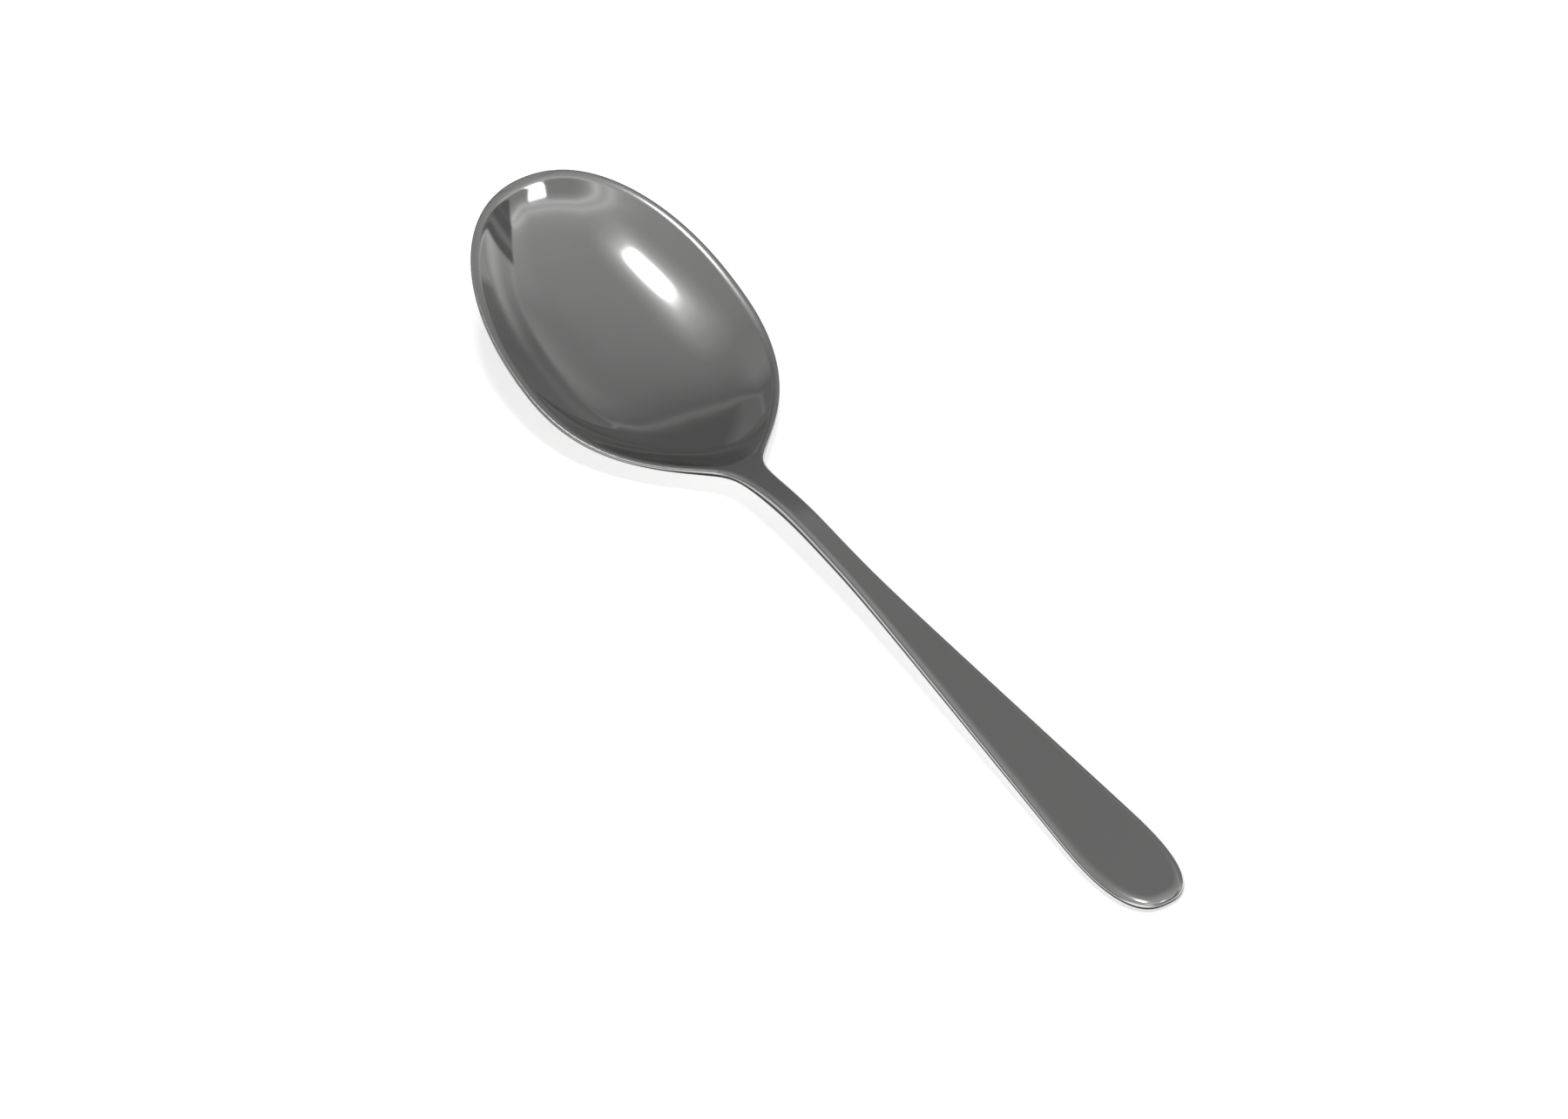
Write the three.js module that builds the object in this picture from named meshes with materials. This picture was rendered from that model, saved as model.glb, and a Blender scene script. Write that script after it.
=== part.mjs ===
// Table spoon pressed from one blank of stainless steel, lying on its belly and the end of its handle.
// The bowl points to -X, the handle to +X, and the surface it lies on is Z 0. Sizes are in millimetres.
import * as THREE from 'three';
import { mergeVertices } from 'three/addons/utils/BufferGeometryUtils.js';

const { clamp, lerp, smootherstep } = THREE.MathUtils;

// Plan outline, measured along the spoon from the tip of the bowl.
const spoonLength = 200;
const bowlHalfWidth = 23.65;
const bowlWidestAt = 34.85;
const tipSquareness = 2.15;
const shoulderLength = 37.05;
const shoulderPower = 2.375;
const shoulderSoftness = 4.4;
const neckHalfWidth = 2.3;
const handleFlare = 0.07;
const handleFlareAt = 109;
const handleFlareSoftness = 9;
const endCapLength = 22;
const endSquareness = 2.6;

// Side profile: the rim runs down from the raised tip, and the handle down from the neck to its end.
const tipHeight = 21.92;
const rimSlope = 0.413;
const rimBow = 0.0016;
const handleSlope = 0.0541;
const neckBlendStart = 39;
const neckBlendEnd = 98.5;

// Metal thickness and edges.
const rimEdge = 0.7;
const neckThickness = 2.6;
const endThickness = 2;
const bowlThickness = 1.1;
const thickeningStart = 56;
const neckAt = 92;
const rimRound = 0.24;
const neckRound = 1.1;
const endRound = 1.9;

// Bowl: a dish inside a flat rim, deepest towards the tip, that ends across the foot of the neck.
const rimWidth = 1.2;
const dishDepth = 6;
const deepestAt = 31;
const dishTipPower = 3;
const dishNeckPower = 2;
const dishSidePower = 2.33;
const dishEndAt = 71.05;
const undersideEndAt = 74.2;

// Facets of the loft.
const tipSteps = 20;
const bodyStep = 3;
const endSteps = 12;
const tipFocus = 21;
const endFocus = spoonLength - 7;
const roundAngles = [0, 30, 60, 90].map(THREE.MathUtils.degToRad);
const dishFractions = [0.04, 0.12, 0.24, 0.38, 0.54, 0.7, 0.86, 1];
const leastFlat = 0.3;
const edgeSearchSteps = 24;
const weldDistance = 1e-4;
const slopeStep = 0.05;
const leastHalfWidth = 1e-3;

const handleEndHeight = endThickness / 2 - handleSlope * endRound;

function superellipse(u, power) {
  return Math.pow(1 - Math.pow(clamp(Math.abs(u), 0, 1), power), 1 / power);
}

function softRamp(t, softness) {
  return (t + Math.hypot(t, softness)) / 2;
}

function shoulderFall(x, length) {
  return 1 - Math.pow((x - bowlWidestAt) / length, shoulderPower);
}

// Half width of the spoon in plan: an oval tip, then shoulders that sweep into the handle.
function halfWidth(x) {
  if (x < bowlWidestAt) {
    return bowlHalfWidth * superellipse(1 - x / bowlWidestAt, tipSquareness);
  }
  const overhang = bowlHalfWidth - neckHalfWidth;
  const sweep = softRamp(overhang * shoulderFall(x, shoulderLength), shoulderSoftness);
  const shoulder = sweep * overhang / softRamp(overhang, shoulderSoftness);
  const flare = handleFlare * softRamp(x - handleFlareAt, handleFlareSoftness);
  const intoCap = Math.max(0, (x - (spoonLength - endCapLength)) / endCapLength);
  return (neckHalfWidth + shoulder + flare) * superellipse(intoCap, endSquareness);
}

// Half width of the dished part, set in from the outline by the flat rim.
function dishHalfWidth(x, inset) {
  const slope = (halfWidth(x + slopeStep) - halfWidth(x - slopeStep)) / (2 * slopeStep);
  const toTip = (bowlWidestAt - x) / (bowlWidestAt - inset);
  const roundTip = (bowlHalfWidth - inset) * superellipse(toTip, tipSquareness);
  const alongShoulder = halfWidth(x) - inset * Math.hypot(1, slope);
  return Math.max(x < bowlWidestAt ? roundTip : alongShoulder, leastHalfWidth);
}

// Depth of a dish below its edge: one curve along the spine times a fuller one across.
function dishDrop(x, y, inset, endAt, depth) {
  const towardsTip = x < deepestAt;
  const along = (x - deepestAt) / (towardsTip ? inset - deepestAt : endAt - deepestAt);
  const across = Math.abs(y) / dishHalfWidth(x, inset);
  const lengthways = Math.max(0, 1 - Math.pow(along, towardsTip ? dishTipPower : dishNeckPower));
  return depth * lengthways * Math.max(0, 1 - Math.pow(across, dishSidePower));
}

function hollowDrop(x, y) {
  return dishDrop(x, y, rimWidth, dishEndAt, dishDepth);
}

function bellyDrop(x, y) {
  return dishDrop(x, y, 0, undersideEndAt, dishDepth + bowlThickness - rimEdge);
}

// Height of the middle of the metal along the rim and the handle.
function midHeight(x) {
  const rimLine = tipHeight - rimSlope * x + rimBow * x * x;
  const handleLine = handleEndHeight + handleSlope * (spoonLength - x);
  return lerp(rimLine, handleLine, smootherstep(x, neckBlendStart, neckBlendEnd));
}

function alongHandle(x) {
  return clamp((x - neckAt) / (spoonLength - neckAt), 0, 1);
}

// A size that holds along the rim, changes up to the neck and then evenly to the end.
function sizeAlong(x, rim, neck, end) {
  const handle = lerp(neck, end, alongHandle(x));
  return lerp(rim, handle, smootherstep(x, thickeningStart, neckAt));
}

// Upper and lower height of the metal at a place in plan, a given distance in from the outline.
function surfaces(x, y, distanceIn) {
  const mid = midHeight(x);
  const edge = sizeAlong(x, rimEdge, neckThickness, endThickness);
  const radius = sizeAlong(x, rimRound, neckRound, endRound);
  const upper = mid + edge / 2 - hollowDrop(x, y);
  const lower = mid - edge / 2 - bellyDrop(x, y);
  const centre = (upper + lower) / 2;
  const roundness = Math.sqrt(1 - Math.pow(1 - clamp(distanceIn / radius, 0, 1), 2));
  return {
    upper: lerp(centre, upper, roundness),
    lower: Math.max(0, lerp(centre, lower, roundness)),
  };
}

// Places of the cross-sections along the outline, closer together round the tip and the end.
function stations() {
  const places = [];
  for (let i = 0; i < tipSteps; i += 1) {
    places.push(bowlWidestAt * (1 - Math.cos((i / tipSteps) * Math.PI / 2)));
  }
  const capStart = spoonLength - endCapLength;
  const bodySteps = Math.round((capStart - bowlWidestAt) / bodyStep);
  for (let i = 0; i < bodySteps; i += 1) {
    places.push(lerp(bowlWidestAt, capStart, i / bodySteps));
  }
  places.push(dishEndAt);
  for (let i = 0; i <= endSteps; i += 1) {
    places.push(capStart + endCapLength * Math.sin((i / endSteps) * Math.PI / 2));
  }
  return places.sort((a, b) => a - b);
}

// Distance from the outline to the inner edge of the flat rim, on the line towards the spoon's spine.
function rimDistance(from, to, length, roundEnd) {
  const dropAt = (t) => hollowDrop(lerp(from.x, to.x, t), lerp(from.y, to.y, t));
  if (dropAt(1) === 0) {
    return roundEnd + leastFlat;
  }
  let outside = 0;
  let inside = 1;
  for (let i = 0; i < edgeSearchSteps; i += 1) {
    const middle = (outside + inside) / 2;
    if (dropAt(middle) > 0) {
      inside = middle;
    } else {
      outside = middle;
    }
  }
  return Math.max(inside * length, roundEnd + leastFlat);
}

// One half section, from the spine over the top, round the edge and back underneath.
function halfSection(x, side) {
  const outline = new THREE.Vector2(x, side * halfWidth(x));
  const spine = new THREE.Vector2(clamp(x, tipFocus, endFocus), 0);
  const length = outline.distanceTo(spine);
  const radius = sizeAlong(x, rimRound, neckRound, endRound);
  const flatEnd = rimDistance(outline, spine, length, radius);
  const distances = roundAngles.map((angle) => radius * (1 - Math.cos(angle)));
  distances.push(flatEnd);
  dishFractions.forEach((fraction) => distances.push(lerp(flatEnd, length, fraction)));
  const top = [];
  const bottom = [];
  distances.forEach((distance) => {
    const place = outline.clone().lerp(spine, distance / length);
    const { upper, lower } = surfaces(place.x, place.y, distance);
    top.push(new THREE.Vector3(place.x, place.y, upper));
    bottom.push(new THREE.Vector3(place.x, place.y, lower));
  });
  return [...top.reverse(), ...bottom.slice(1)];
}

// Skin between neighbouring sections, with the triangles that shrink to nothing left out.
function loft(sections, flipped) {
  const triangles = [];
  const add = (a, b, c) => {
    const sides = [a.distanceTo(b), b.distanceTo(c), c.distanceTo(a)];
    if (Math.min(...sides) > weldDistance) {
      triangles.push(...(flipped ? [a, c, b] : [a, b, c]));
    }
  };
  for (let i = 0; i + 1 < sections.length; i += 1) {
    for (let j = 0; j + 1 < sections[i].length; j += 1) {
      const [a, b] = [sections[i][j], sections[i][j + 1]];
      const [c, d] = [sections[i + 1][j], sections[i + 1][j + 1]];
      add(a, c, b);
      add(b, c, d);
    }
  }
  return triangles;
}

function spoonGeometry() {
  const places = stations();
  const left = places.map((x) => halfSection(x, 1));
  const right = places.map((x) => halfSection(x, -1));
  const geometry = new THREE.BufferGeometry();
  geometry.setFromPoints([...loft(left, false), ...loft(right, true)]);
  const welded = mergeVertices(geometry, weldDistance);
  welded.computeVertexNormals();
  return welded;
}

const polishedSteel = new THREE.MeshStandardMaterial({ color: 0x8f8e8c, roughness: 0.16, metalness: 1 });

const spoon = new THREE.Mesh(spoonGeometry(), polishedSteel);
spoon.name = 'spoon';
spoon.position.x = -spoonLength / 2;

const tableSpoon = new THREE.Group();
tableSpoon.add(spoon);

export default tableSpoon;
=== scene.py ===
import math

import bmesh
import bpy
from mathutils import Matrix, Vector


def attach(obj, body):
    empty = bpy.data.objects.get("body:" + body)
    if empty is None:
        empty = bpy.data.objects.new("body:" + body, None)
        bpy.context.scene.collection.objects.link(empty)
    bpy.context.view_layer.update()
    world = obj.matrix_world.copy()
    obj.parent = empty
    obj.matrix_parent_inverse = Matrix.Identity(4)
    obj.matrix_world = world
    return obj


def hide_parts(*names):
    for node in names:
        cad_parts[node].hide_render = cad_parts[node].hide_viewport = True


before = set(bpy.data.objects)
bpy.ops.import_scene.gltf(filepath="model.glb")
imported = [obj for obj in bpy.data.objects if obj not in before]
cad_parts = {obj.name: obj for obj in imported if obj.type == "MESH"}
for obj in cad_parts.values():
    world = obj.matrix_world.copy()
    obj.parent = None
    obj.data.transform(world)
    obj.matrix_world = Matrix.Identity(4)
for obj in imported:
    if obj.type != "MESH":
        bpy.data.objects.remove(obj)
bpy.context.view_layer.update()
print("frame loaded")

# Table spoon pressed from one blank, in millimetres from the tip of the bowl
spoonShape = {
    "length": 200.0,
    "bowlHalfWidth": 23.65, "bowlWidestAt": 34.85, "tipSquareness": 2.15,
    "shoulderLength": 37.05, "shoulderPower": 2.375, "shoulderSoftness": 4.4,
    "neckHalfWidth": 2.3, "handleFlare": 0.07, "handleFlareAt": 109.0, "handleFlareSoftness": 9.0,
    "endCapLength": 22.0, "endSquareness": 2.6,
    "tipHeight": 21.92, "rimSlope": 0.413, "rimBow": 0.0016, "handleSlope": 0.0541,
    "neckBlend": (39.0, 98.5),
    "thickness": {"rim": 0.7, "neck": 2.6, "end": 2.0},
    "edgeRound": {"rim": 0.4, "neck": 1.1, "end": 1.9},
    "thickening": (56.0, 92.0), "rounding": (28.0, 72.0),
    "deepestAt": 31.0, "filletBlend": (45.0, 64.0),
    "dishPower": {"tip": 3.0, "neck": 2.0, "side": 2.33},
    "hollow": {"inset": 1.2, "endAt": 71.05, "depth": 6.0, "fillet": (0.48, 0.14)},
    "belly": {"inset": 0.0, "endAt": 74.2, "depth": 6.4, "fillet": (0.3, 0.3)},
    "tipFocus": 21.0, "endFocus": 193.0, "leastFlat": 0.3,
    "slopeStep": 0.05, "leastHalfWidth": 0.001, "startRadius": 100.0, "weld": 0.0001,
    "steps": {
        "tip": 56, "body": 112, "end": 32,
        "crease": (-1.0, -0.65, -0.35, -0.15, 0.0, 0.15, 0.35, 0.65, 1.0),
        "edge": 9, "flat": 8, "dish": 40, "dishCrowding": 1.8, "rimSearch": 30,
    },
}
millimetresPerMetre = 1000


def clamp(value, low, high):
    return max(low, min(high, value))


def mix(a, b, t):
    return a + (b - a) * t


def softStep(x, start, end):
    t = clamp((x - start) / (end - start), 0.0, 1.0)
    return t * t * t * (t * (6 * t - 15) + 10)


def superellipse(u, power):
    return (1 - clamp(abs(u), 0.0, 1.0) ** power) ** (1 / power)


def softRamp(t, softness):
    return (t + math.hypot(t, softness)) / 2


def quarterTurn(step, steps):
    return step / steps * math.pi / 2


# Plan outline: an oval tip, then shoulders that sweep into the handle
def halfWidth(x):
    s = spoonShape
    if x < s["bowlWidestAt"]:
        return s["bowlHalfWidth"] * superellipse(1 - x / s["bowlWidestAt"], s["tipSquareness"])
    overhang = s["bowlHalfWidth"] - s["neckHalfWidth"]
    fall = 1 - ((x - s["bowlWidestAt"]) / s["shoulderLength"]) ** s["shoulderPower"]
    sweep = softRamp(overhang * fall, s["shoulderSoftness"])
    shoulder = sweep * overhang / softRamp(overhang, s["shoulderSoftness"])
    flare = s["handleFlare"] * softRamp(x - s["handleFlareAt"], s["handleFlareSoftness"])
    intoCap = max(0.0, (x - (s["length"] - s["endCapLength"])) / s["endCapLength"])
    return (s["neckHalfWidth"] + shoulder + flare) * superellipse(intoCap, s["endSquareness"])


# Half width of a dish, set in from the outline by the flat rim
def dishHalfWidth(x, inset):
    s = spoonShape
    if x < s["bowlWidestAt"]:
        toTip = (s["bowlWidestAt"] - x) / (s["bowlWidestAt"] - inset)
        width = (s["bowlHalfWidth"] - inset) * superellipse(toTip, s["tipSquareness"])
    else:
        step = s["slopeStep"]
        slope = (halfWidth(x + step) - halfWidth(x - step)) / (2 * step)
        width = halfWidth(x) - inset * math.hypot(1.0, slope)
    return max(width, s["leastHalfWidth"])


# Drop of a dish below its edge, negative outside it
def plainDrop(x, y, dish):
    s = spoonShape
    towardsTip = x < s["deepestAt"]
    edgeAt = dish["inset"] if towardsTip else dish["endAt"]
    along = (x - s["deepestAt"]) / (edgeAt - s["deepestAt"])
    lengthways = 1 - along ** s["dishPower"]["tip" if towardsTip else "neck"]
    if lengthways <= 0:
        return dish["depth"] * lengthways
    across = abs(y) / dishHalfWidth(x, dish["inset"])
    return dish["depth"] * lengthways * (1 - across ** s["dishPower"]["side"])


# The same with its edge eased into the flat rim
def dishDrop(x, y, dish):
    drop = plainDrop(x, y, dish)
    fillet = mix(*dish["fillet"], softStep(x, *spoonShape["filletBlend"]))
    if drop > fillet:
        return drop
    return max(0.0, drop + fillet) ** 2 / (4 * fillet)


# Height of the middle of the metal along the rim and the handle
def midHeight(x):
    s = spoonShape
    rimLine = s["tipHeight"] - s["rimSlope"] * x + s["rimBow"] * x * x
    endHeight = s["thickness"]["end"] / 2 - s["handleSlope"] * s["edgeRound"]["end"]
    handleLine = endHeight + s["handleSlope"] * (s["length"] - x)
    return mix(rimLine, handleLine, softStep(x, *s["neckBlend"]))


# A size that holds along the rim, changes up to the neck and then evenly to the end
def sizeAlong(x, sizes, growth):
    start, neck = growth
    alongHandle = clamp((x - neck) / (spoonShape["length"] - neck), 0.0, 1.0)
    handle = mix(sizes["neck"], sizes["end"], alongHandle)
    return mix(sizes["rim"], handle, softStep(x, start, neck))


def edgeRadius(x):
    return sizeAlong(x, spoonShape["edgeRound"], spoonShape["rounding"])


def surfaceHeight(x, y, inward, onTop):
    s = spoonShape
    middle = midHeight(x)
    edge = sizeAlong(x, s["thickness"], s["thickening"])
    upper = middle + edge / 2 - dishDrop(x, y, s["hollow"])
    lower = middle - edge / 2 - dishDrop(x, y, s["belly"])
    centre = (upper + lower) / 2
    roundness = math.sqrt(1 - (1 - clamp(inward / edgeRadius(x), 0.0, 1.0)) ** 2)
    return mix(centre, upper, roundness) if onTop else max(0.0, mix(centre, lower, roundness))


# Places along the outline, from the tip round one side to the end and back round the other
def outlinePlaces():
    s, steps = spoonShape, spoonShape["steps"]
    capStart = s["length"] - s["endCapLength"]
    side = [s["bowlWidestAt"] * (1 - math.cos(quarterTurn(i, steps["tip"]))) for i in range(steps["tip"])]
    side += [mix(s["bowlWidestAt"], capStart, i / steps["body"]) for i in range(steps["body"])]
    side += [
        capStart + s["endCapLength"] * math.sin(quarterTurn(i, steps["end"]))
        for i in range(steps["end"] + 1)
    ]
    side += [s["hollow"]["endAt"] + offset for offset in steps["crease"]]
    places = [(x, halfWidth(x)) for x in sorted(side)]
    return places + [(x, -y) for x, y in reversed(places[1:-1])]


# Distance from the outline to the inner edge of the flat rim, on the line towards the spine
def rimDistance(x, y, spineX, length):
    hollow = spoonShape["hollow"]
    if x >= spoonShape["bowlWidestAt"]:
        return min(abs(y) - dishHalfWidth(x, hollow["inset"]), length / 2)
    outside, inside = 0.0, 1.0
    for attempt in range(spoonShape["steps"]["rimSearch"]):
        middle = (outside + inside) / 2
        if plainDrop(mix(x, spineX, middle), mix(y, 0.0, middle), hollow) > 0:
            inside = middle
        else:
            outside = middle
    return inside * length


# Points inwards from one place on the outline: round edge, flat rim, then the dish or the handle's flat
def inwardPoints(place):
    s, steps = spoonShape, spoonShape["steps"]
    x, y = place
    spineX = clamp(x, s["tipFocus"], s["endFocus"])
    length = math.hypot(spineX - x, y)
    rounded = edgeRadius(x)
    flatEnd = max(rounded + s["leastFlat"], rimDistance(x, y, spineX, length))
    distances = [rounded * (1 - math.cos(quarterTurn(i, steps["edge"]))) for i in range(steps["edge"] + 1)]
    distances += [mix(rounded, flatEnd, i / steps["flat"]) for i in range(1, steps["flat"] + 1)]
    crowded = [(i / steps["dish"]) ** steps["dishCrowding"] for i in range(1, steps["dish"] + 1)]
    distances += [mix(flatEnd, length, t) for t in crowded]
    return [(mix(x, spineX, d / length), mix(y, 0.0, d / length), d) for d in distances]


# Moves the selected ring of vertices to its place on the spoon
def placeRing(spoonMesh, lines, ring, onTop):
    edit = bmesh.from_edit_mesh(spoonMesh)
    station = edit.verts.layers.int["station"]
    inward = edit.verts.layers.float["inward"]
    for vertex in edit.verts:
        if vertex.select:
            x, y, distance = lines[vertex[station]][ring]
            vertex[inward] = distance
            height = surfaceHeight(x, y, distance, onTop)
            corner = (x - spoonShape["length"] / 2, y, height)
            vertex.co = [size / millimetresPerMetre for size in corner]
    bmesh.update_edit_mesh(spoonMesh)


def selectOutline(spoonMesh):
    bpy.ops.mesh.select_all(action="DESELECT")
    edit = bmesh.from_edit_mesh(spoonMesh)
    for vertex in edit.verts:
        vertex.select = vertex[edit.verts.layers.float["inward"]] == 0.0
    edit.select_flush_mode()
    bmesh.update_edit_mesh(spoonMesh)


outline = outlinePlaces()
inwardLines = [inwardPoints(place) for place in outline]

bpy.ops.object.select_all(action="DESELECT")
bpy.ops.mesh.primitive_circle_add(
    vertices=len(outline), radius=spoonShape["startRadius"] / millimetresPerMetre, fill_type="NOTHING",
)
spoon = bpy.context.object
spoon.name = "polishedSpoon"
stations = spoon.data.attributes.new("station", "INT", "POINT")
stations.data.foreach_set("value", range(len(outline)))
spoon.data.attributes.new("inward", "FLOAT", "POINT")

bpy.ops.object.mode_set(mode="EDIT")
bpy.ops.mesh.select_mode(type="VERT")
for onTop in (True, False):
    if not onTop:
        selectOutline(spoon.data)
    for ring in range(len(inwardLines[0])):
        if ring > 0:
            bpy.ops.mesh.extrude_edges_move()
        placeRing(spoon.data, inwardLines, ring, onTop)
bpy.ops.mesh.select_all(action="SELECT")
bpy.ops.mesh.remove_doubles(threshold=spoonShape["weld"] / millimetresPerMetre)
bpy.ops.mesh.normals_make_consistent(inside=False)
bpy.ops.object.mode_set(mode="OBJECT")
bpy.ops.object.shade_smooth()
print("spoon modelled:", len(spoon.data.polygons), "faces")


# Node helpers: an input is either another node's output or a plain value
def feed(tree, socket, value):
    if isinstance(value, bpy.types.NodeSocket):
        tree.links.new(value, socket)
    else:
        socket.default_value = value


def addNode(tree, kind, inputs, **settings):
    node = tree.nodes.new(kind)
    for name, value in settings.items():
        setattr(node, name, value)
    for name, value in inputs.items():
        feed(tree, node.inputs[name], value)
    return node


def calculate(tree, operation, *values):
    return addNode(tree, "ShaderNodeMath", dict(enumerate(values)), operation=operation).outputs["Value"]


def remap(tree, value, fromRange, toRange=(0.0, 1.0), curve="LINEAR"):
    inputs = {
        "Value": value,
        "From Min": fromRange[0], "From Max": fromRange[1],
        "To Min": toRange[0], "To Max": toRange[1],
    }
    return addNode(tree, "ShaderNodeMapRange", inputs, interpolation_type=curve).outputs["Result"]


def blend(tree, share, first, second, kind):
    inputs = {"Factor": share, "A": first, "B": second}
    return addNode(tree, "ShaderNodeMix", inputs, data_type=kind).outputs["Result"]


def opaque(colour):
    return (*colour, 1.0)


# Polished steel, placed in metres from the spoon's middle or in millimetres in from its outline
steelFinish = {
    "colour": (0.56, 0.555, 0.55), "specular": 0.2,
    "clouds": {"colour": (0.53, 0.526, 0.522), "scale": 90.0, "detail": 3.0, "share": 0.6},
    "hairlines": {
        "stretch": (120.0, 2600.0, 2600.0), "scale": 1.0, "detail": 4.0, "share": 0.4,
        "bump": 0.03, "depth": 0.00002,
    },
    "polish": {"from": (0.3, 0.7), "roughness": (0.03, 0.065)},
    "rim": {"from": (0.9, 2.0), "roughness": (0.2, 0.0)},
    # the handle's lighter colour is a painted brighter reflection
    "handle": {"from": (-0.045, -0.02), "colour": (0.69, 0.685, 0.68)},
    "neck": {"from": (-0.02, 0.03), "roughness": (0.16, 0.05)},
    # painted shade: near-black, rougher colour on the steep faces near the outline
    "paintedEdgeShade": {
        "facing": (0.45, 0.05), "inward": (0.8, 0.4),
        "colour": (0.03, 0.03, 0.03), "roughness": 0.45,
    },
}


def polishedSteel(finish):
    material = bpy.data.materials.new("polishedSteel")
    material.use_nodes = True
    tree = material.node_tree
    place = tree.nodes.new("ShaderNodeTexCoord").outputs["Object"]
    alongSpoon = addNode(tree, "ShaderNodeSeparateXYZ", {"Vector": place}).outputs["X"]
    inward = addNode(tree, "ShaderNodeAttribute", {}, attribute_name="inward").outputs["Fac"]

    buff = finish["clouds"]  # cloudy marks of the buffing wheel
    inputs = {"Vector": place, "Scale": buff["scale"], "Detail": buff["detail"]}
    clouds = addNode(tree, "ShaderNodeTexNoise", inputs).outputs["Fac"]
    tint = blend(tree, clouds, opaque(finish["colour"]), opaque(buff["colour"]), "RGBA")

    lines = finish["hairlines"]  # they run along the spoon
    stretched = addNode(tree, "ShaderNodeMapping", {"Vector": place, "Scale": lines["stretch"]})
    inputs = {"Vector": stretched.outputs["Vector"], "Scale": lines["scale"], "Detail": lines["detail"]}
    hairlines = addNode(tree, "ShaderNodeTexNoise", inputs).outputs["Fac"]
    cloudShare = calculate(tree, "MULTIPLY", clouds, buff["share"])
    marks = calculate(tree, "MULTIPLY_ADD", hairlines, lines["share"], cloudShare)
    polish = remap(tree, marks, finish["polish"]["from"], finish["polish"]["roughness"])

    # The bowl's rim is worn duller and the handle is less polished at the neck; the handle's lighter colour
    # is a painted brighter reflection
    onHandle = remap(tree, alongSpoon, finish["handle"]["from"], curve="SMOOTHSTEP")
    cloudsAndHandleSheen = blend(tree, onHandle, tint, opaque(finish["handle"]["colour"]), "RGBA")
    rimWear = remap(tree, inward, finish["rim"]["from"], finish["rim"]["roughness"])
    neckWear = remap(tree, alongSpoon, finish["neck"]["from"], finish["neck"]["roughness"])
    worn = calculate(tree, "ADD", polish, blend(tree, onHandle, rimWear, neckWear, "FLOAT"))

    # Painted shade: steep faces near the outline are made near black, less metallic and rougher, a painted
    # dark edge along the sides
    side = finish["paintedEdgeShade"]
    normal = tree.nodes.new("ShaderNodeNewGeometry").outputs["Normal"]
    upwards = addNode(tree, "ShaderNodeSeparateXYZ", {"Vector": normal}).outputs["Z"]
    steep = remap(tree, upwards, side["facing"])
    nearOutline = remap(tree, inward, side["inward"])
    paintedEdgeShade = calculate(tree, "MULTIPLY", steep, nearOutline)

    shader = tree.nodes["Principled BSDF"]
    shader.inputs["Specular IOR Level"].default_value = finish["specular"]
    colour = blend(tree, paintedEdgeShade, cloudsAndHandleSheen, opaque(side["colour"]), "RGBA")
    tree.links.new(colour, shader.inputs["Base Color"])
    tree.links.new(calculate(tree, "SUBTRACT", 1.0, paintedEdgeShade), shader.inputs["Metallic"])
    roughness = calculate(tree, "MULTIPLY_ADD", paintedEdgeShade, side["roughness"], worn)
    tree.links.new(roughness, shader.inputs["Roughness"])
    inputs = {"Height": hairlines, "Strength": lines["bump"], "Distance": lines["depth"]}
    bump = addNode(tree, "ShaderNodeBump", inputs)
    tree.links.new(bump.outputs["Normal"], shader.inputs["Normal"])
    return material


spoon.data.materials.append(polishedSteel(steelFinish))
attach(spoon, "root")
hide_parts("spoon")
print("steel applied")


# Table top, a shade lighter to the eye and to the steel than the lamps alone make it
tableTop = {
    "radius": 4.0, "corners": 96,
    "colour": (0.93, 0.93, 0.93), "grainColour": (0.91, 0.91, 0.91), "grainScale": 300.0,
    "roughness": 0.6, "specular": 0.0, "liftColour": (1.0, 1.0, 1.0), "lift": 0.5,
}


def paleTable(finish):
    material = bpy.data.materials.new("paleTable")
    material.use_nodes = True
    tree = material.node_tree
    shader = tree.nodes["Principled BSDF"]
    shader.inputs["Roughness"].default_value = finish["roughness"]
    shader.inputs["Specular IOR Level"].default_value = finish["specular"]
    place = tree.nodes.new("ShaderNodeTexCoord").outputs["Object"]
    grain = addNode(tree, "ShaderNodeTexNoise", {"Vector": place, "Scale": finish["grainScale"]})
    colours = opaque(finish["colour"]), opaque(finish["grainColour"])
    tint = blend(tree, grain.outputs["Fac"], *colours, "RGBA")
    tree.links.new(tint, shader.inputs["Base Color"])
    path = tree.nodes.new("ShaderNodeLightPath").outputs
    seen = calculate(tree, "MAXIMUM", path["Is Camera Ray"], path["Is Glossy Ray"])
    seen = calculate(tree, "MAXIMUM", seen, path["Is Transmission Ray"])
    shader.inputs["Emission Color"].default_value = opaque(finish["liftColour"])
    lift = calculate(tree, "MULTIPLY", seen, finish["lift"])
    tree.links.new(lift, shader.inputs["Emission Strength"])
    return material


bpy.ops.object.select_all(action="DESELECT")
bpy.ops.mesh.primitive_circle_add(
    vertices=tableTop["corners"], radius=tableTop["radius"], fill_type="NGON",
)
table = bpy.context.object
table.name = "tableTop"
table.data.materials.append(paleTable(tableTop))
print("table laid")

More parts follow.
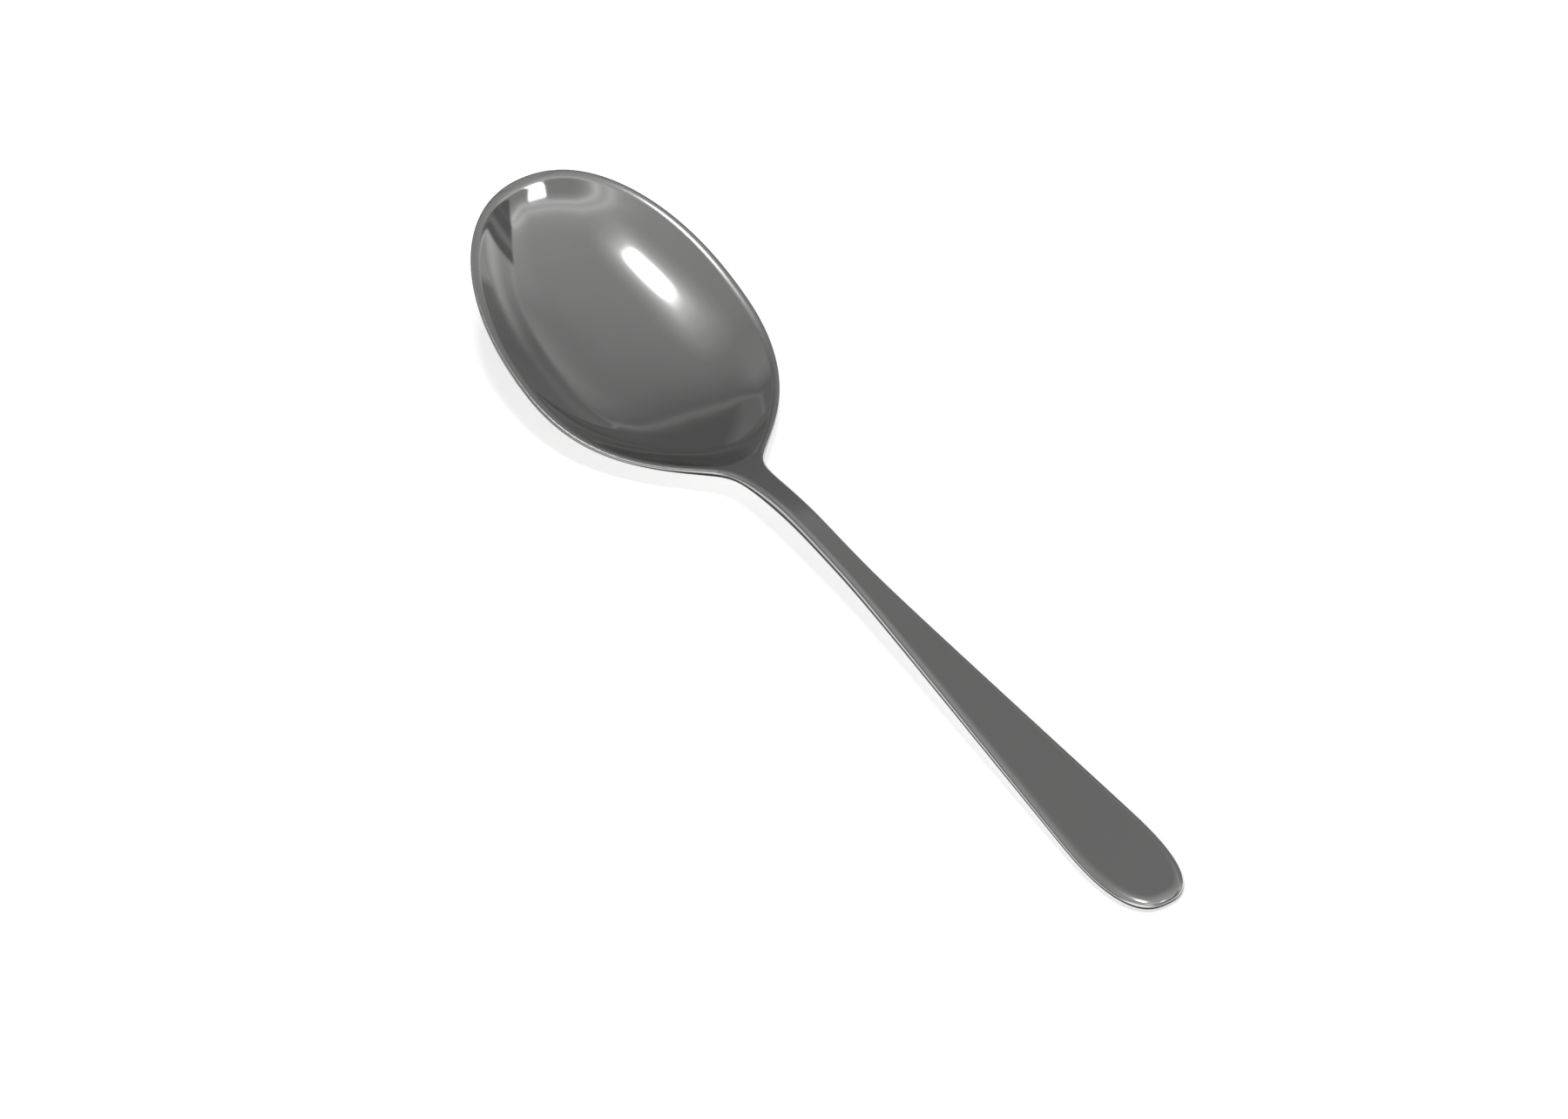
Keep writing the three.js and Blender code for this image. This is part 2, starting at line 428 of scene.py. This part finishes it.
# Camera at the photograph's angle, in metres and degrees, with its lens and sensor in millimetres
view = {
    "azimuth": 56.63, "elevation": 40.83, "distance": 1.366, "right": -0.00827, "up": 0.00278,
    "lens": 181.3, "sensor": 36.0, "clipEnd": 50.0,
}
azimuth, elevation = math.radians(view["azimuth"]), math.radians(view["elevation"])
ahead, level = (-math.sin(azimuth), math.cos(azimuth)), math.cos(elevation)
back = (-ahead[0] * level, -ahead[1] * level, math.sin(elevation))
right = (math.cos(azimuth), math.sin(azimuth), 0.0)
up = (ahead[0] * math.sin(elevation), ahead[1] * math.sin(elevation), level)
bpy.ops.object.camera_add(
    location=[view["distance"] * b + view["right"] * r + view["up"] * u for b, r, u in zip(back, right, up)],
    rotation=(math.pi / 2 - elevation, 0.0, azimuth),
)
camera = bpy.context.object
camera.data.lens = view["lens"]
camera.data.sensor_width = view["sensor"]
camera.data.clip_end = view["clipEnd"]
bpy.context.scene.camera = camera
print("camera placed")

# Room seen in the steel: a grey ceiling, and walls with light borders, dark posts and a window
# Places are steps away from the point overhead, along the spoon and sideways, each with its tone or shift
room = {
    "turn": (-7.2, 2.0, 8.8), "leastHeight": 0.05,
    "tipEdge": 0.58, "neckEdge": -0.98, "nearEdge": 1.68, "nearNeckEnd": -0.84,
    "corner": [(-0.06, 0.0), (0.06, 1.0)],
    "neckBow": [
        (-0.6, 0.75), (-0.2, 0.5), (-0.08, 0.22), (0.05, 0.05), (0.3, -0.03),
        (0.55, 0.0), (0.7, 0.08), (1.1, 0.35), (1.5, 0.5), (2.2, 0.6),
    ],
    "neckBowFrom": [(-0.8, 1.0), (-0.35, 0.0)],
    "nearBow": [
        (-1.8, 0.45), (-1.5, 0.2), (-1.2, 0.03), (-0.9, -0.08),
        (-0.6, -0.14), (-0.3, -0.1), (0.2, 0.15), (0.5, 0.28),
    ],
    "nearBowFrom": [(0.9, 0.0), (1.35, 1.0)],
    "tipBow": [
        (0.0, 0.05), (0.3, 0.045), (0.6, -0.01), (0.85, -0.04),
        (1.0, -0.025), (1.2, 0.02), (1.4, 0.06), (1.68, 0.1),
    ],
    "tipBowFrom": [(0.2, 0.0), (0.5, 1.0)],
    "tipBorder": {"start": 0.6, "aside": 0.1, "share": 0.67, "softness": 0.22},
    "neckBorder": [(-0.45, -0.8), (-0.26, -0.85), (-0.2, -0.95), (-0.16, -1.03), (-0.08, -1.05)],
    "neckShade": [(0.02, 0.0), (0.09, -0.06), (0.14, -0.16), (0.18, -1.5), (0.23, -9.0)],
    "neckShadeLean": {"share": 0.07, "from": -1.0},
    "lengthways": [
        (-9.0, 0.2), (-5.5, 0.19), (-4.7, 0.145), (-4.1, 0.1), (-3.6, 0.11),
        (-3.0, 0.13), (-1.3, 0.14), (-1.12, 0.16), (-1.05, 0.2), (-0.98, 0.245),
        (-0.93, 0.245), (-0.88, 0.195), (-0.8, 0.18), (-0.7, 0.2), (-0.4, 0.275),
        (-0.1, 0.345), (0.4, 0.4), (0.53, 0.47), (0.575, 0.57), (0.595, 0.7),
        (0.61, 0.7), (0.64, 0.55), (0.685, 0.77), (0.735, 0.4), (0.8, 0.34),
    ],
    "sideways": [
        (1.0, 1.0), (1.35, 1.1), (1.6, 1.15), (1.68, 1.26), (1.74, 1.3),
        (1.86, 1.12), (2.15, 1.15), (2.45, 1.5), (2.65, 1.7), (2.9, 1.68),
        (3.5, 1.0), (3.9, 0.86), (5.0, 0.8), (8.0, 1.0),
    ],
    "asideLimit": [(1.0, 5.0), (1.06, 1.35)],
    "bandsFrom": [(-0.84, 0.2), (-0.6, 0.8), (-0.4, 1.0)],
    "bandsPast": [(1.84, 1.0), (2.0, 0.0)],
    "posts": [
        (0.05, 0.3), (0.1, 0.16), (0.18, 0.15), (0.29, 0.28), (0.4, 0.155),
        (0.52, 0.155), (0.58, 0.19), (0.64, 0.155), (0.8, 0.155), (0.9, 0.2),
    ],
    "postsLean": {"share": 0.15, "from": 1.7},
    "postsFrom": [(0.03, 0.0), (0.09, 1.0)],
    "postsHeight": [(1.63, 0.0), (1.7, 1.0), (3.0, 1.0), (3.6, 0.0)],
    "paleNear": {"tone": 0.43, "from": [(-0.4, 0.0), (-0.3, 1.0)], "height": [(3.1, 0.0), (3.5, 1.0)]},
    "lamp": {
        "middle": (0.065, 0.054), "turn": 18.0, "half": (0.145, 0.086), "squareness": 3.2,
        "tones": [
            (0.0, 9.0), (0.6, 8.0), (0.85, 3.0), (1.0, 1.5), (1.12, 0.8), (1.25, 0.5),
            (1.45, 0.36), (1.7, 0.22), (2.0, 0.13), (2.6, 0.04), (3.2, 0.0),
        ],
    },
    "window": {
        "middle": (0.83, 0.845), "turn": 0.0, "half": (0.084, 0.105), "squareness": 8.0,
        "tones": [(0.0, 2.2), (0.94, 2.2), (1.1, 0.0)],
    },
    "brightSide": {"towards": -55.0, "strength": 1.0, "from": (0.7, 0.95)},
}


def roomWorld(look):
    world = bpy.data.worlds.new("room")
    bpy.context.scene.world = world
    world.use_nodes = True
    tree = world.node_tree

    def maths(operation, *values):
        return calculate(tree, operation, *values)

    # Value read off between stops, held level past the first and the last
    def tones(value, stops):
        low, high = stops[0][0], stops[-1][0]
        share = maths("DIVIDE", maths("SUBTRACT", value, low), high - low)
        ramp = addNode(tree, "ShaderNodeValToRGB", {"Fac": share})
        marks = ramp.color_ramp.elements
        while len(marks) < len(stops):
            marks.new(1.0)
        for mark, (position, grey) in zip(marks, stops):
            mark.position = (position - low) / (high - low)
            mark.color = (grey, grey, grey, 1.0)
        return ramp.outputs["Color"]

    # The same for stops that go below zero
    def shifts(value, stops):
        least = min(shift for position, shift in stops)
        return maths("ADD", tones(value, [(position, shift - least) for position, shift in stops]), least)

    def choose(switch, first, second):
        return maths("ADD", maths("MULTIPLY", switch, maths("SUBTRACT", first, second)), second)

    # Bright panel with rounded corners
    def panel(across, aside, light):
        cos, sin = math.cos(math.radians(light["turn"])), math.sin(math.radians(light["turn"]))
        east = maths("SUBTRACT", across, light["middle"][0])
        north = maths("SUBTRACT", aside, light["middle"][1])
        long = maths("ADD", maths("MULTIPLY", east, cos), maths("MULTIPLY", north, sin))
        short = maths("SUBTRACT", maths("MULTIPLY", north, cos), maths("MULTIPLY", east, sin))
        powers = [
            maths("POWER", maths("ABSOLUTE", maths("DIVIDE", reach, half)), light["squareness"])
            for reach, half in zip((long, short), light["half"])
        ]
        return tones(maths("POWER", maths("ADD", *powers), 1 / light["squareness"]), light["tones"])

    direction = tree.nodes.new("ShaderNodeTexCoord").outputs["Generated"]
    turn = [math.radians(angle) for angle in look["turn"]]
    turned = addNode(tree, "ShaderNodeMapping", {"Vector": direction, "Rotation": turn}).outputs["Vector"]
    axes = addNode(tree, "ShaderNodeSeparateXYZ", {"Vector": turned}).outputs
    height = maths("MAXIMUM", axes["Z"], look["leastHeight"])
    plainAcross = maths("DIVIDE", axes["X"], height)
    plainAside = maths("DIVIDE", axes["Y"], height)

    # Walls past the tip and the neck, and the near wall, with bowed upper edges
    neckBow = maths("MULTIPLY", shifts(plainAside, look["neckBow"]), tones(plainAcross, look["neckBowFrom"]))
    nearBow = maths("MULTIPLY", shifts(plainAcross, look["nearBow"]), tones(plainAside, look["nearBowFrom"]))
    across = maths("ADD", plainAcross, neckBow)
    aside = maths("ADD", plainAside, nearBow)
    pastTip = maths("DIVIDE", across, look["tipEdge"])
    pastNeck = maths("DIVIDE", across, look["neckEdge"])
    pastEnds = maths("MAXIMUM", maths("MAXIMUM", pastTip, pastNeck), 1.0)
    pastNear = maths("DIVIDE", aside, look["nearEdge"])
    onNear = tones(maths("SUBTRACT", pastNear, pastEnds), look["corner"])
    endAside = maths("DIVIDE", aside, pastEnds)

    # Borders of the end walls, which stop the tones from running on
    border = look["tipBorder"]
    tipLimit = maths("MULTIPLY", maths("ADD", endAside, border["aside"]), border["share"])
    tipLimit = maths("ADD", tipLimit, border["start"])
    tipBow = maths("MULTIPLY", shifts(endAside, look["tipBow"]), tones(plainAcross, look["tipBowFrom"]))
    tipAcross = maths("SMOOTH_MIN", maths("ADD", across, tipBow), tipLimit, border["softness"])
    lean = look["neckShadeLean"]
    leaning = maths("MULTIPLY", maths("SUBTRACT", across, lean["from"]), lean["share"])
    neckShade = shifts(maths("ADD", endAside, leaning), look["neckShade"])
    neckLimit = maths("ADD", shifts(plainAside, look["neckBorder"]), neckShade)
    endAcross = maths("MAXIMUM", tipAcross, neckLimit)
    nearAcross = maths("DIVIDE", plainAcross, maths("MAXIMUM", pastNear, 1.0))
    nearAcross = maths("MAXIMUM", nearAcross, look["nearNeckEnd"])

    # Tones lengthways times the bands sideways
    wallAcross = choose(onNear, nearAcross, endAcross)
    asideLimit = tones(pastEnds, look["asideLimit"])
    wallAside = choose(onNear, aside, maths("MINIMUM", endAside, asideLimit))
    bandShare = maths("MAXIMUM", tones(wallAside, look["bandsPast"]), tones(wallAcross, look["bandsFrom"]))
    bands = choose(bandShare, tones(wallAside, look["sideways"]), 1.0)
    walls = maths("MULTIPLY", tones(wallAcross, look["lengthways"]), bands)

    # Dark posts and a pale stretch on the near wall
    lean = look["postsLean"]
    leaning = maths("MULTIPLY", maths("SUBTRACT", aside, lean["from"]), lean["share"])
    post = maths("SUBTRACT", nearAcross, leaning)
    postShare = maths("MULTIPLY", tones(post, look["postsFrom"]), tones(aside, look["postsHeight"]))
    walls = choose(postShare, tones(post, look["posts"]), walls)
    pale = look["paleNear"]
    paleShare = maths("MULTIPLY", tones(nearAcross, pale["from"]), tones(aside, pale["height"]))
    walls = choose(maths("MULTIPLY", paleShare, onNear), pale["tone"], walls)
    for light in (look["lamp"], look["window"]):
        walls = maths("ADD", walls, panel(plainAcross, plainAside, light))

    side = look["brightSide"]
    towards = math.radians(side["towards"])
    inputs = {0: direction, 1: (math.cos(towards), math.sin(towards), 0.0)}
    facing = addNode(tree, "ShaderNodeVectorMath", inputs, operation="DOT_PRODUCT").outputs["Value"]
    bright = remap(tree, facing, side["from"], (0.0, side["strength"]), "SMOOTHSTEP")
    tree.links.new(maths("ADD", walls, bright), tree.nodes["Background"].inputs["Color"])


roomWorld(room)

# Lamps: panels that face the bowl and light the table, while the steel sees those of the room
lamps = {
    "overhead": {
        "direction": (0.065, -0.034, 0.997), "along": (0.26, 0.11, 0.0),
        "size": (0.56, 0.27), "shape": "ELLIPSE", "power": 8.0,
    },
    "window": {
        "direction": (0.487, 0.37, 0.788), "along": (0.0, 0.92, -0.38),
        "size": (0.24, 0.19), "shape": "RECTANGLE", "power": 0.6,
    },
}
lampDistance = 2.0
bowlMiddle = Vector((-0.075, 0.0, 0.0))
for name, lamp in lamps.items():
    away = Vector(lamp["direction"]).normalized()
    across = away.cross(Vector(lamp["along"])).normalized()
    facing = Matrix((across.cross(away), across, away)).transposed()
    bpy.ops.object.light_add(
        type="AREA", location=bowlMiddle + away * lampDistance, rotation=facing.to_euler(),
    )
    light = bpy.context.object
    light.name = name
    light.data.shape = lamp["shape"]
    light.data.size, light.data.size_y = lamp["size"]
    light.data.energy = lamp["power"]
    light.visible_glossy = False
bpy.context.scene.view_settings.view_transform = "Standard"
print("room and lamps set")
